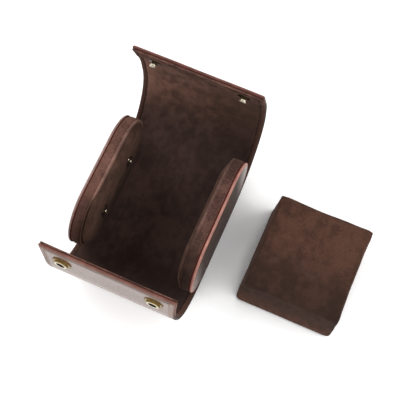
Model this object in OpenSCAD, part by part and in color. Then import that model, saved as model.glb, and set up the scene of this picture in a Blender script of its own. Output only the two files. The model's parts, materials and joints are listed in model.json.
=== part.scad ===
// Travel case for one wristwatch: a leather wrap lined with suede lies round two
// oblong end caps, closes with two snap fasteners and holds a loose suede pillow.
// X runs from cap to cap, Y from the snap lip (front) to the flap (back), Z is up.
// The origin is on the table under the middle of the floor. The wrap lies open.

/* [End caps] */
// Height of an end cap across its straight sides
cap_height = 50; // [44:1:56]
// Straight length of a cap between its two round ends
cap_straight = 40; // [32:1:48]
// Thickness of the outer leather disc
cap_cover_t = 1.6; // [1:0.1:2.5]
// Thickness of the stiff board inside a cap
cap_board_t = 6; // [4:0.5:8]
// Thickness of the suede band round a cap
cap_rim_t = 1; // [0.6:0.1:1.6]
// Width of the band's hem over the inner face
cap_hem_w = 3.4; // [2:0.2:5]
// Radius of the rolled ridge along the band's inner edge
cap_bead_r = 1; // [0.6:0.1:1.4]
// Thickness of the inner pad at its edge
pad_edge_t = 1.2; // [0.8:0.1:2]
// Rise of the pad from its edge to its middle
pad_crown = 2.3; // [1:0.1:3]

/* [Rivets] */
// Distance between the two rivets of a cap
rivet_pitch = 37; // [24:1:44]
// Height of the rivets below the middle of the cap
rivet_drop = 2.2; // [0:0.2:6]
// Radius of a rivet head
rivet_head_r = 2; // [1.4:0.1:3]
// Radius of a rivet shank
rivet_shank_r = 0.9; // [0.6:0.1:1.2]
// Length of a rivet shank under its head
rivet_shank_l = 5; // [4:0.5:6]

/* [Wrap] */
// Width of the case over the outer faces of the caps
case_width = 84; // [80:1:96]
// Thickness of the outer leather
leather_t = 1.6; // [1.2:0.1:2.2]
// Thickness of the stiffener between leather and lining
board_t = 0.6; // [0.4:0.1:1]
// Thickness of the suede lining
lining_t = 1; // [0.6:0.1:1.6]
// Gap between two neighbouring panels of the wrap
fold_gap = 0.5; // [0.3:0.1:0.8]
// Clearance between the closed wrap and the round ends of the caps
wrap_clearance = 0.3; // [0.2:0.1:0.6]
// Length of the last panel of the lip
lip_end_l = 31.8; // [28:0.2:36]
// Length of the last panel of the flap
flap_end_l = 28; // [24:0.5:34]
// Distance from the lip's closed edge to the step in the flap
step_run = 1; // [0.6:0.1:2]
// Corner radius of the lip and the flap
corner_r = 2.5; // [1:0.5:5]

/* [Snap fasteners] */
// Distance between the two snaps
snap_pitch = 58; // [48:1:62]
// Distance from the lip's edge to the snaps
snap_inset = 14; // [11:0.5:17]
// Radius of the socket's flange
socket_flange_r = 6; // [5:0.1:7]
// Radius of the socket's raised ring
socket_ring_r = 4.2; // [3.8:0.1:4.8]
// Height of the socket's ring over the leather
socket_h = 1.8; // [1.7:0.1:2.4]
// Thickness of the socket's flange
socket_flange_t = 0.6; // [0.4:0.1:0.8]
// Radius of the stud's head
stud_head_r = 2.2; // [1.9:0.1:2.4]
// Length of the stud from its flange to its tip
stud_l = 3; // [2.6:0.1:3.2]
// Radius of the stud's flange
stud_flange_r = 4; // [3.4:0.1:4.6]
// Thickness of the stud's flange
stud_flange_t = 0.5; // [0.4:0.1:0.7]
// Clearance between stud and socket, all round and at the face
snap_clearance = 0.2; // [0.1:0.05:0.3]
// Radius of the snap's cap on the outside of the flap
snap_cap_r = 6; // [5:0.1:7]
// Height of the snap's cap
snap_cap_h = 1.4; // [1:0.1:2]

/* [Pillow] */
// Width of the pillow from end to end
pillow_w = 60; // [52:1:61]
// Depth of the pillow
pillow_d = 62; // [54:1:70]
// Height of the pillow at the top of its crown
pillow_h = 34.5; // [30:0.5:40]
// Rise of the pillow's top from its edge to its middle
pillow_crown = 2; // [0:0.2:4]
// Corner radius of the pillow seen from above
pillow_corner_r = 6; // [4:0.5:9]
// How far the pillow's sides pull in between its corners
pillow_draw = 0.9; // [0:0.1:2]
// Padding between the pillow's skin and its foam core
pillow_pad_t = 3; // [2.5:0.5:4]
// Thickness of the stiff board at each end of the core
pillow_board_t = 1.2; // [0.8:0.1:2]
// Gap between the case and the pillow on the table beside it
pillow_gap = 27; // [10:1:60]
// Place of the pillow along the depth of the case
pillow_y = 1.6; // [-20:0.2:20]

/* [Hidden] */
$fn = 96;

// Bends of the open wrap in degrees, fold by fold from the floor outwards
lip_bends = [6, 24, 27, 16, 8, 12];
flap_bends = [15, 17, 16, 16, 16, 14, 13];
folds = len(lip_bends);
closed_bend = 180 / folds;

// The wrap's skin and the caps that it closes round
wrap_t = leather_t + board_t + lining_t;
cap_r = cap_height / 2;
half_straight = cap_straight / 2;
cap_z = wrap_t + cap_r;
closed_r = cap_r + wrap_clearance;
half_fold = closed_r * tan(closed_bend / 2);

// The first fold is where the floor meets the tangent of the closed circle
first_fold_y = half_straight + (closed_r - cap_r * cos(closed_bend)) / sin(closed_bend);
first_touch = [half_straight + closed_r * sin(closed_bend), cap_r - closed_r * cos(closed_bend)];
first_l = norm(first_touch - [first_fold_y, 0]) + half_fold;
arc_lengths = [for (i = [2 : folds - 1]) 2 * half_fold];

// Snap stack: the closed flap lies this far over the lip
snap_gap = socket_h + stud_flange_t + snap_clearance;
top_fold_y = half_straight + half_fold;
lip_edge_y = lip_end_l - top_fold_y;
ramp_rise = wrap_t + snap_gap;
ramp_run = top_fold_y - lip_edge_y - step_run;
ramp_l = norm([ramp_run, ramp_rise]);
flap_snap_y = snap_inset + step_run;

lip_lengths = concat([first_l], arc_lengths, [lip_end_l]);
flap_lengths = concat([first_l], arc_lengths, [ramp_l, flap_end_l]);

// Small fits
barrel_wall = 0.6;
groove_depth = 0.7;
groove_h = 0.6;
socket_round = 0.4;
socket_bore_r = stud_head_r + snap_clearance;
barrel_r = socket_bore_r + barrel_wall;
groove_r = socket_bore_r + groove_depth;
spring_wire_r = 0.25;
spring_play = 0.1;
eyelet_flange_r = 4.5;
eyelet_flange_t = 0.5;
eyelet_bore_r = 1.6;
eyelet_grip = 0.6;
eyelet_l = lining_t + eyelet_grip;
shank_r = 1.2;
slip = 0.03;

// How far a cutter reaches past what it cuts
over = 1;

leather_colour = "#5b3a36";
suede_colour = "#4a342e";
board_colour = "#8a7a62";
brass_colour = "#a08a5c";
pale_brass_colour = "#cdc6b4";

// Panel geometry: the sum of bends up to fold i, and the place of fold i
function bend_sum(bends, i) = i < 0 ? 0 : bends[i] + bend_sum(bends, i - 1);
function fold_at(lengths, bends, i) = i == 0 ? [first_fold_y, wrap_t]
  : fold_at(lengths, bends, i - 1)
    + lengths[i - 1] * [cos(bend_sum(bends, i - 1)), sin(bend_sum(bends, i - 1))];

// Puts children in the frame of panel i: Y along the panel, Z towards the inside
module on_panel(lengths, bends, i) {
  fold = fold_at(lengths, bends, i);
  translate([0, fold[0], fold[1]])
    rotate([bend_sum(bends, i), 0, 0])
      children();
}

module on_flap(i) {
  on_panel(flap_lengths, flap_bends, i) children();
}

module on_lip(i) {
  mirror([0, 1, 0]) on_panel(lip_lengths, lip_bends, i) children();
}

// Outline of a last panel, with two round corners at its free edge
module end_outline(l) {
  translate([-case_width / 2, fold_gap / 2])
    square([case_width, l - fold_gap / 2 - corner_r]);
  translate([-case_width / 2 + corner_r, fold_gap / 2])
    square([case_width - 2 * corner_r, l - fold_gap / 2]);
  for (side = [-1, 1])
    translate([side * (case_width / 2 - corner_r), l - corner_r])
      circle(r = corner_r);
}

module panel_slab(l, low, high, last) {
  translate([0, 0, low])
    linear_extrude(high - low) {
      if (last)
        end_outline(l);
      else
        translate([-case_width / 2, fold_gap / 2])
          square([case_width, l - fold_gap]);
    }
}

module at_snaps(y) {
  for (side = [-1, 1])
    translate([side * snap_pitch / 2, y, 0])
      children();
}

// Leather and stiffener of one moving panel
module leather_panel(lengths, i, snap_y, hole_r) {
  last = i == len(lengths) - 1;
  color(leather_colour)
    difference() {
      panel_slab(lengths[i], -wrap_t, -lining_t, last);
      if (last)
        at_snaps(snap_y)
          translate([0, 0, -wrap_t - over])
            cylinder(r = hole_r, h = wrap_t + 2 * over);
    }
}

module lining_panel(lengths, i, snap_y, hole_r) {
  last = i == len(lengths) - 1;
  color(suede_colour)
    difference() {
      panel_slab(lengths[i], -lining_t, 0, last);
      if (last)
        at_snaps(snap_y)
          translate([0, 0, -wrap_t])
            cylinder(r = hole_r, h = wrap_t + over);
    }
}

module lip_leather(i) {
  on_lip(i) leather_panel(lip_lengths, i, lip_end_l - snap_inset, barrel_r + slip);
}

module lip_lining(i) {
  on_lip(i) lining_panel(lip_lengths, i, lip_end_l - snap_inset, eyelet_flange_r + slip);
}

module flap_leather(i) {
  on_flap(i) leather_panel(flap_lengths, i, flap_snap_y, shank_r + slip);
}

module flap_lining(i) {
  on_flap(i) lining_panel(flap_lengths, i, flap_snap_y, shank_r + slip);
}

// Floor of the wrap, which the caps stand on, with a board let into its leather
board_inset = 3;

module floor_slab(low, high, inset) {
  size_x = case_width - 2 * inset;
  size_y = 2 * first_fold_y - fold_gap - 2 * inset;
  translate([-size_x / 2, -size_y / 2, low])
    cube([size_x, size_y, high - low]);
}

module floor_leather() {
  color(leather_colour)
    difference() {
      floor_slab(0, leather_t + board_t, 0);
      floor_slab(leather_t, leather_t + board_t + over, board_inset);
    }
}

module floor_board() {
  color(board_colour) floor_slab(leather_t, leather_t + board_t, board_inset);
}

module floor_lining() {
  color(suede_colour) floor_slab(leather_t + board_t, wrap_t, 0);
}

// End cap, built for the right side in a frame that lies on its outer face:
// the face is the XY plane here, with X towards the back and Z into the case
module cap_frame(side) {
  if (side > 0)
    translate([case_width / 2, 0, cap_z]) rotate([90, 0, 90]) mirror([0, 0, 1]) children();
  else
    translate([-case_width / 2, 0, cap_z]) rotate([90, 0, 90]) children();
}

module oblong(r) {
  square([cap_straight, 2 * r], center = true);
  for (side = [-1, 1])
    translate([side * half_straight, 0])
      circle(r = r);
}

board_top = cap_cover_t + cap_board_t;
rim_top = board_top + pad_edge_t;
pad_top = rim_top + pad_crown;

module cap_cover() {
  color(leather_colour) linear_extrude(cap_cover_t) oblong(cap_r);
}

module cap_board() {
  color(board_colour)
    difference() {
      translate([0, 0, cap_cover_t])
        linear_extrude(cap_board_t) oblong(cap_r - cap_rim_t);
      rivet_places() cylinder(r = rivet_shank_r + slip, h = pad_top);
    }
}

// Suede band with its hem and a rolled ridge along the inner edge
module bead_path(r) {
  for (side = [0, 1])
    rotate([0, 0, side * 180]) {
      translate([half_straight, 0, 0])
        rotate([0, 0, -90])
          rotate_extrude(angle = 180) translate([r, 0]) circle(r = cap_bead_r);
      translate([-half_straight, r, 0])
        rotate([0, 90, 0]) cylinder(r = cap_bead_r, h = cap_straight);
    }
}

module cap_rim() {
  color(suede_colour) {
    difference() {
      translate([0, 0, cap_cover_t])
        linear_extrude(rim_top - cap_cover_t) oblong(cap_r);
      translate([0, 0, cap_cover_t - over])
        linear_extrude(cap_board_t + over) oblong(cap_r - cap_rim_t);
      translate([0, 0, cap_cover_t])
        linear_extrude(rim_top) oblong(cap_r - cap_rim_t - cap_hem_w);
    }
    translate([0, 0, rim_top]) bead_path(cap_r - cap_bead_r);
  }
}

// Crowned pad: rings of the oblong, drawn in by these shares of its radius as they rise
pad_r = cap_r - cap_rim_t - cap_hem_w - slip;
ring_points = 40;
pad_steps = [0, 0, 0.05, 0.16, 0.34, 0.56, 0.8];
function oblong_point(r, i) =
  let (a = 360 * (i + 0.5) / ring_points)
    [r * cos(a) + sign(cos(a)) * half_straight, r * sin(a)];
function pad_height(k) = k == 0 ? 0 : pad_edge_t + pad_crown * sin(acos(1 - pad_steps[k]));
pad_points = concat(
  [for (k = [0 : len(pad_steps) - 1], i = [0 : ring_points - 1])
    let (p = oblong_point(pad_r * (1 - pad_steps[k]), i)) [p[0], p[1], pad_height(k)]],
  [[0, 0, 0], [0, 0, pad_edge_t + pad_crown]]);
pad_rings = len(pad_steps);
function ring_faces(n, rings) = [
  for (k = [0 : rings - 2], i = [0 : n - 1], half = [0, 1])
    let (a = k * n + i, b = k * n + (i + 1) % n)
      half == 0 ? [a, a + n, b] : [b, a + n, b + n]];
function end_faces(n, rings) = concat(
  [for (i = [0 : n - 1]) [n * rings, i, (i + 1) % n]],
  [for (i = [0 : n - 1])
    [n * rings + 1, n * (rings - 1) + (i + 1) % n, n * (rings - 1) + i]]);

module cap_pad() {
  color(suede_colour)
    difference() {
      translate([0, 0, board_top])
        polyhedron(pad_points,
          concat(ring_faces(ring_points, pad_rings), end_faces(ring_points, pad_rings)));
      rivet_places() {
        cylinder(r = rivet_shank_r + slip, h = pad_top + over);
        translate([0, 0, rivet_seat]) cylinder(r = rivet_head_r + slip, h = pad_crown + over);
      }
    }
}

module rivet_places() {
  for (side = [-1, 1])
    translate([side * rivet_pitch / 2, -rivet_drop, 0])
      children();
}

// A rivet head is a low dome that lies in a dimple, at this share of the crown
rivet_head_h = 0.9;
rivet_dome_r = 1.6 * rivet_head_r;
rivet_sink = 0.72;
rivet_seat = rim_top + pad_crown * rivet_sink;

module cap_rivets() {
  color(pale_brass_colour)
    rivet_places() {
      translate([0, 0, rivet_seat - rivet_shank_l])
        cylinder(r = rivet_shank_r, h = rivet_shank_l + rivet_head_h / 2);
      translate([0, 0, rivet_seat])
        rotate_extrude()
          intersection() {
            square([rivet_head_r, rivet_head_h]);
            translate([0, rivet_head_h - rivet_dome_r]) circle(r = rivet_dome_r);
          }
    }
}

// Snap fasteners: the socket stands on the lip's leather, its eyelet is set in the lining
module snap_sockets() {
  color(brass_colour)
    on_lip(folds - 1)
      at_snaps(lip_end_l - snap_inset)
        mirror([0, 0, 1])
          translate([0, 0, wrap_t])
            rotate_extrude()
              difference() {
                union() {
                  translate([socket_bore_r, 0])
                    square([socket_flange_r - socket_bore_r, socket_flange_t]);
                  translate([socket_bore_r, 0])
                    square([socket_ring_r - socket_bore_r, socket_h - socket_round]);
                  translate([socket_bore_r, 0])
                    square([socket_ring_r - socket_bore_r - socket_round, socket_h]);
                  translate([socket_ring_r - socket_round, socket_h - socket_round])
                    circle(r = socket_round);
                  translate([socket_bore_r, -leather_t - board_t])
                    square([barrel_r - socket_bore_r, leather_t + board_t]);
                }
                translate([0, (socket_h - groove_h) / 2])
                  square([groove_r, groove_h]);
              }
}

// Open wire ring that grips the stud
module snap_springs() {
  color("#c9c4b8")
    on_lip(folds - 1)
      at_snaps(lip_end_l - snap_inset)
        translate([0, 0, -wrap_t - socket_h / 2])
          rotate_extrude(angle = 320)
            translate([socket_bore_r + spring_wire_r + spring_play, 0])
              circle(r = spring_wire_r, $fn = 24);
}

module snap_eyelets() {
  color(brass_colour)
    on_lip(folds - 1)
      at_snaps(lip_end_l - snap_inset)
        difference() {
          union() {
            translate([0, 0, -eyelet_flange_t])
              cylinder(r = eyelet_flange_r, h = eyelet_flange_t);
            translate([0, 0, -lining_t])
              cylinder(r = barrel_r, h = lining_t);
            translate([0, 0, -eyelet_l])
              cylinder(r = socket_bore_r - slip, h = eyelet_l);
          }
          translate([0, 0, -eyelet_l - over])
            cylinder(r = eyelet_bore_r, h = eyelet_l + 2 * over);
        }
}

stud_round = 0.3;
stud_neck_r = stud_head_r - stud_round;
stud_head_l = 1;

module snap_studs() {
  color(pale_brass_colour)
    on_flap(folds)
      at_snaps(flap_snap_y)
        rotate_extrude() {
          difference() {
            square([stud_flange_r, stud_flange_t]);
            square([shank_r + slip, stud_flange_t / 2]);
          }
          translate([0, stud_flange_t])
            square([stud_neck_r, stud_l - stud_round]);
          translate([0, stud_flange_t + stud_l - stud_head_l])
            square([stud_head_r, stud_head_l - stud_round]);
          translate([0, stud_flange_t + stud_l - stud_head_l])
            square([stud_neck_r, stud_head_l]);
          translate([stud_neck_r, stud_flange_t + stud_l - stud_round])
            circle(r = stud_round);
        }
}

module snap_caps() {
  dome_r = (snap_cap_r * snap_cap_r + snap_cap_h * snap_cap_h) / (2 * snap_cap_h);
  color(brass_colour)
    on_flap(folds)
      at_snaps(flap_snap_y) {
        mirror([0, 0, 1])
          translate([0, 0, wrap_t])
            rotate_extrude()
              intersection() {
                square([snap_cap_r, snap_cap_h]);
                translate([0, snap_cap_h - dome_r]) circle(r = dome_r, $fn = 256);
              }
        translate([0, 0, -wrap_t])
          cylinder(r = shank_r, h = wrap_t + stud_flange_t / 2 - slip);
      }
}

// Pillow: crowned top, round edges, sides drawn in between the corners
pillow_x = case_width / 2 + pillow_gap + pillow_w / 2;
side_points = 6;
arc_points = 6;
pillow_ring = 4 * (side_points + arc_points);

// Share of the height of each ring, and how far it stands in from the outline
pillow_levels = [
  [0, 2.4], [0.05, 0.9], [0.14, 0.2], [0.32, 0.2], [0.5, 0.5], [0.68, 0.2],
  [0.84, 0], [0.92, 0.9], [0.965, 2.4], [0.985, 5], [1, 10], [1, 17], [1, 24]
];
function corner_point(q, j) =
  let (a = q * 90 + 90 * j / arc_points,
       cx = (pillow_w / 2 - pillow_corner_r) * (q == 0 || q == 3 ? 1 : -1),
       cy = (pillow_d / 2 - pillow_corner_r) * (q < 2 ? 1 : -1))
    [cx + pillow_corner_r * cos(a), cy + pillow_corner_r * sin(a)];
function outline_point(i) =
  let (q = floor(i / (side_points + arc_points)), j = i % (side_points + arc_points))
    j < arc_points ? corner_point(q, j)
    : let (f = (j - arc_points) / side_points)
      corner_point(q, arc_points) * (1 - f) + corner_point((q + 1) % 4, 0) * f;
function draw_share(a, size) = max(0, 1 - pow(a / (size / 2 - pillow_corner_r), 2));
function drawn_in(p) =
  let (u = p[0] / (pillow_w / 2), v = p[1] / (pillow_d / 2))
    [p[0] - sign(u) * pillow_draw * pow(abs(u), 6) * draw_share(p[1], pillow_d),
     p[1] - sign(v) * pillow_draw * pow(abs(v), 6) * draw_share(p[0], pillow_w)];
function top_z(p, f) =
  let (u = p[0] / (pillow_w / 2), v = p[1] / (pillow_d / 2))
    f < 0.8 ? f * pillow_h
    : f * (pillow_h - pillow_crown) + pillow_crown * (1 - u * u) * (1 - v * v);
pillow_points = concat(
  [for (level = pillow_levels, i = [0 : pillow_ring - 1])
    let (q = drawn_in(outline_point(i)),
         p = [q[0] * (1 - 2 * level[1] / pillow_w), q[1] * (1 - 2 * level[1] / pillow_d)])
      [p[0], p[1], top_z(p, level[0])]],
  [[0, 0, 0], [0, 0, pillow_h]]);

core_z = pillow_pad_t;
core_h = pillow_h - pillow_crown - 2 * pillow_pad_t;
core_w = pillow_w - 2 * pillow_pad_t - 2 * pillow_draw;
core_d = pillow_d - 2 * pillow_pad_t - 2 * pillow_draw;

module core_block(low_x, high_x) {
  translate([low_x, -core_d / 2, core_z])
    cube([high_x - low_x, core_d, core_h]);
}

module pillow_cover() {
  color(suede_colour)
    translate([pillow_x, pillow_y, 0])
      difference() {
        polyhedron(pillow_points, concat(ring_faces(pillow_ring, len(pillow_levels)),
          end_faces(pillow_ring, len(pillow_levels))));
        core_block(-core_w / 2, core_w / 2);
      }
}

module pillow_core() {
  color("#d8d2c0")
    translate([pillow_x, pillow_y, 0])
      core_block(-core_w / 2 + pillow_board_t, core_w / 2 - pillow_board_t);
}

module pillow_end_boards() {
  color(board_colour)
    translate([pillow_x, pillow_y, 0]) {
      core_block(-core_w / 2, -core_w / 2 + pillow_board_t);
      core_block(core_w / 2 - pillow_board_t, core_w / 2);
    }
}

floor_leather();
floor_board();
floor_lining();
cap_frame(-1) cap_cover();  // left_cap_cover
cap_frame(-1) cap_board();  // left_cap_board
cap_frame(-1) cap_rim();  // left_cap_rim
cap_frame(-1) cap_pad();  // left_cap_pad
cap_frame(-1) cap_rivets();  // left_cap_rivets
cap_frame(1) cap_cover();  // right_cap_cover
cap_frame(1) cap_board();  // right_cap_board
cap_frame(1) cap_rim();  // right_cap_rim
cap_frame(1) cap_pad();  // right_cap_pad
cap_frame(1) cap_rivets();  // right_cap_rivets
for (i = [1 : folds]) {
  lip_leather(i - 1);
  lip_lining(i - 1);
}
snap_sockets();  // lip_snap_sockets
snap_springs();  // lip_snap_springs
snap_eyelets();  // lip_snap_eyelets
for (i = [1 : folds + 1]) {
  flap_leather(i - 1);
  flap_lining(i - 1);
}
snap_studs();  // flap_snap_studs
snap_caps();  // flap_snap_caps
pillow_cover();
pillow_core();
pillow_end_boards();
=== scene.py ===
import json
import math

import bmesh
import bpy
import numpy as np
from mathutils import Matrix, Vector, noise


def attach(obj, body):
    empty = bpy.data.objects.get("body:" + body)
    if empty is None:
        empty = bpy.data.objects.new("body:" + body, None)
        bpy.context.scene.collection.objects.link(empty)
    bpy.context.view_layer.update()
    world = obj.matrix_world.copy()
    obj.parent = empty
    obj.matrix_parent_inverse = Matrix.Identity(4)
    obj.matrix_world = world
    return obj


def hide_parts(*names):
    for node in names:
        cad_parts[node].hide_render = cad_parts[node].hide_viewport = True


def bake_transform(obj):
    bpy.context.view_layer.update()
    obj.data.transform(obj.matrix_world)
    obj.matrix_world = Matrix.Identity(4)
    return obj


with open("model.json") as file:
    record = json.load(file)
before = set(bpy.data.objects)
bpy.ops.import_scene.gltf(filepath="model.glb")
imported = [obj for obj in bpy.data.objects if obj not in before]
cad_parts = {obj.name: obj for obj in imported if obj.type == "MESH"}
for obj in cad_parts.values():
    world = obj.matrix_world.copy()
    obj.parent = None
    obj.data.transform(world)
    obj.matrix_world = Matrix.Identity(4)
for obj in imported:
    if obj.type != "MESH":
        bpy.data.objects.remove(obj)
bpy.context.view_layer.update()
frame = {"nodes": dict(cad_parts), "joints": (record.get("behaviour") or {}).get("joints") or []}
scene = bpy.context.scene
nodes = frame["nodes"]
mm = 0.001
print("frame loaded:", len(nodes), "nodes")

# the photograph's viewing angle, in degrees and millimetres
view = {
    "azimuth": 23.65,
    "elevation": 70.7,
    "distance": 573.7,
    "target": (23.15, 11.05, 30.0),
    "lens": 81.83,
    "sensor": 36.0,
}


def placeCamera():
    a, e = math.radians(view["azimuth"]), math.radians(view["elevation"])
    right = Vector((math.cos(a), math.sin(a), 0))
    back = Vector((math.sin(a) * math.cos(e), -math.cos(a) * math.cos(e), math.sin(e)))
    up = back.cross(right)
    data = bpy.data.cameras.new("camera")
    data.lens = view["lens"]
    data.sensor_width = view["sensor"]
    data.sensor_fit = "HORIZONTAL"
    data.clip_start = 0.01
    camera = bpy.data.objects.new("camera", data)
    place = Vector(view["target"]) * mm + back * view["distance"] * mm
    turn = Matrix((right, up, back)).transposed().to_4x4()
    camera.matrix_world = Matrix.Translation(place) @ turn
    scene.collection.objects.link(camera)
    scene.camera = camera


# soft studio light over a white table, in metres and watts
light = {
    "lamps": {
        "left": {"place": (-0.9, 0.35, 0.85), "size": 0.9, "power": 7.5},
        "right": {"place": (0.95, 0.3, 0.78), "size": 0.9, "power": 5.8},
        "front": {"place": (0.1, -1.15, 0.8), "size": 1.0, "power": 5.5},
    },
    "aim": (0.02, 0.0, 0.03),
    "skyLevel": 0.3,
    "tableHalf": 2.5,
    "tableTones": (0.86, 0.9),
    "tableGlow": 0.55,
    "whiteFrom": (0.35, 0.8),  # the glow rises to white between these distances
    "shadeReach": 0.09,
    "open": (0.37, 0.54),  # how open a spot is where the glow starts, and where it is full
    # painted light: the table counts as more open in front of the object, which clears the shadow
    # there
    "frontOf": (-0.05, -0.072),  # a spot in front of the object counts as more open
    "frontLift": 0.3,
}


def placeLamp(name, place, size, power):
    data = bpy.data.lights.new(name, "AREA")
    data.shape = "DISK"
    data.size = size
    data.energy = power
    lamp = bpy.data.objects.new(name, data)
    lamp.location = place
    aim = Vector(light["aim"]) - Vector(place)
    lamp.rotation_euler = aim.to_track_quat("-Z", "Y").to_euler()
    scene.collection.objects.link(lamp)


class Field:
    # a socket that takes part in sums and products
    def __init__(self, finish, socket):
        self.finish = finish
        self.socket = socket

    def __add__(self, other):
        return self.finish.calc("ADD", self, other)

    def __sub__(self, other):
        return self.finish.calc("SUBTRACT", self, other)

    def __mul__(self, other):
        return self.finish.calc("MULTIPLY", self, other)

    def __rsub__(self, other):
        return self.finish.calc("SUBTRACT", other, self)

    __radd__ = __add__
    __rmul__ = __mul__


class Finish:
    # a material, or the world, and the ways to write its nodes
    def __init__(self, name, world=None):
        self.owner = world or bpy.data.materials.new(name)
        self.owner.use_nodes = True
        self.tree = self.owner.node_tree
        self.tree.nodes.clear()

    def node(self, kind, settings=None, values=None, out=0):
        made = self.tree.nodes.new("ShaderNode" + kind)
        for key, value in (settings or {}).items():
            setattr(made, key, value)
        for key, value in (values or {}).items():
            if isinstance(value, Field):
                self.tree.links.new(value.socket, made.inputs[key])
            else:
                made.inputs[key].default_value = value
        return Field(self, made.outputs[out]) if made.outputs else made

    def calc(self, operation, *values):
        return self.node("Math", {"operation": operation}, dict(enumerate(values)))

    def limit(self, value):
        return self.node("Clamp", {}, {"Value": value})

    def ease(self, value, low, high):
        return self.node("MapRange", {"interpolation_type": "SMOOTHSTEP"},
                         {"Value": value, "From Min": low, "From Max": high})

    def span(self, value, ends):
        # from 0 to 1 between two places in millimetres
        return self.ease(value, ends[0] * mm, ends[1] * mm)

    def axis(self, place, name):
        return self.node("SeparateXYZ", {}, {"Vector": place}, name)

    def off(self, place, name):
        # distance from the middle plane, on either side
        return self.calc("ABSOLUTE", self.axis(place, name))

    def within(self, place, spans):
        mask = None
        for name, ends in spans.items():
            part = self.span(self.axis(place, name), ends)
            mask = part if mask is None else mask * part
        return mask

    def mix(self, mask, first, second):
        return self.node("Mix", {"data_type": "RGBA"}, {0: mask, 6: first, 7: second}, 2)

    def stretch(self, place, scale):
        return self.node("VectorMath", {"operation": "MULTIPLY"}, {0: place, 1: scale})

    def cloud(self, place, size, detail=2.0, rough=0.5):
        return self.node("TexNoise", {}, {"Vector": place, "Scale": 1 / (size * mm),
                                          "Detail": detail, "Roughness": rough})

    def cells(self, place, size):
        return self.node("TexVoronoi", {}, {"Vector": place, "Scale": 1 / (size * mm)}, "Distance")

    def surface(self):
        return self.node("UVMap", {"uv_map": "surface"})

    def solid(self):
        return self.node("TexCoord", {}, {}, "Object")

    def seen(self):
        # 1 for what the camera, a reflection or glass sees, 0 for what lights the object
        parts = [self.node("LightPath", {}, {}, f"Is {kind} Ray")
                 for kind in ("Camera", "Glossy", "Transmission")]
        return self.limit(parts[0] + parts[1] + parts[2])

    def bump(self, height, depth):
        return self.node("Bump", {}, {"Height": height, "Distance": depth * mm})

    def principled(self, values):
        return self.node("BsdfPrincipled", {}, values)

    def close(self, shader):
        self.node("OutputMaterial", {}, {"Surface": shader})
        return self.owner


def paint(red, green, blue):
    # the colour as the eye or a picture editor names it, 0 to 255
    out = [c / 12.92 if c <= 0.04045 else ((c + 0.055) / 1.055) ** 2.4
           for c in (red / 255, green / 255, blue / 255)]
    return (*out, 1.0)


def tint(colour, share):
    return paint(*[min(255, c * share) for c in colour])


suede = {
    "lining": (118, 86, 73),
    # the crease is painted darker than the lining, as shade in its groove
    "crease": (54, 38, 32),
    # the floor's colour is darker than the lining's, as painted shade
    "floor": (84, 65, 60),
    "pillow": (86, 59, 48),
    # painted light: the left cap's band and ridge are lighter than the right one's, and each ridge
    # is lighter than its band as a painted highlight
    "leftBand": (118, 84, 73),
    "leftRidge": (140, 106, 94),
    "rightBand": (94, 67, 59),
    "rightRidge": (112, 84, 75),
    "pad": (90, 66, 56),
    # painted shade round the pad's rivets
    "paintedShade": (22, 16, 14),
    "hem": (110, 78, 68),
    "sideHem": (88, 63, 54),
    "sideCrease": (94, 68, 59),
    "sheen": (150, 118, 106),
    # how far pale and dark fibres stand out, and how many pits show
    "nap": 0.16,
    "grit": 0.4,
    # grain sizes in millimetres
    "clouds": (24, 7),
    "strokes": 2.4,
    "fibre": 0.42,
    "speckle": 1.1,
    "flecks": 0.75,
    # spans of the lining's painted light and shade, across and along the wrap, from the middle of
    # the floor
    "darkSide": (-30, 42),
    "paleSide": (-26, -38),
    "floorEnds": (55, 98),
    "frontBend": (-12, -45),
    "backBend": (15, 50),
    # distance from a rivet's axis over which its painted shade ends
    "paintedShadeReach": (3.2, 5.4),
}
# painted shade: where another colour takes over, in millimetres; a span may run backwards
shades = {
    # painted shade on the lining by the flap's free end
    "flapEnd": {"colour": (92, 67, 57), "spans": {"Y": (112, 136)}},
    # painted shade on the cap bands, darker towards the front
    "leftBand": {"colour": (88, 61, 53), "spans": {"Y": (20, -50)}},
    "rightBand": {"colour": (62, 46, 40), "spans": {"Y": (-4, -50)}},
    # painted shade on the pillow, darker towards the front of its top
    "pillow": {"colour": (62, 44, 37), "spans": {"Y": (20, -30), "Z": (2, 22)}},
    # painted shade on the pad, darker towards the bottom
    "pad": {"colour": (36, 27, 24), "spans": {"Z": (42, 6)}},
    # the rolled ridge keeps its painted highlight only at the top and the back, and takes the pad's
    # colour elsewhere
    "ridge": {"colour": (90, 66, 56), "spans": {"Y": (-32, -14), "Z": (20, 36)}, "outside": True},
}


def paintLiningShade(f, at, tone, worn):
    # painted light and shade on the lining: darker to the right and paler at the left, darker in
    # the floor and darkest in its bends
    lining, floor = suede["lining"], suede["floor"]
    across, along = f.axis(at, "X"), f.axis(at, "Y")
    worn = f.mix(f.span(across, suede["darkSide"]) * 0.85, worn, tint(lining, 0.56))
    worn = f.mix(f.span(across, suede["paleSide"]) * 0.5, worn, tint(lining, 1.3))
    low = f.mix(tone, tint(floor, 0.8), paint(*floor))
    bends = f.calc("MAXIMUM", f.span(along, suede["frontBend"]),
                   f.span(along, suede["backBend"]) * 0.45)
    low = f.mix(bends * 0.8, low, tint(floor, 0.5))
    paintedShade = 1 - f.span(f.calc("ABSOLUTE", along), suede["floorEnds"])
    return f.mix(paintedShade * 0.88, worn, low)


def paintRivetShade(f, at, fibre, worn, rivets):
    # painted shade: the suede is painted dark round each rivet, in its dimple
    along = f.off(at, "Y") - rivets[0] * mm
    height = f.axis(at, "Z") - rivets[1] * mm
    reach = f.calc("SQRT", along * along + height * height) + (fibre - 0.5) * 1.2 * mm
    mask = 1 - f.span(reach, suede["paintedShadeReach"])
    return f.mix(mask * 0.9, worn, paint(*suede["paintedShade"]))


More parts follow.
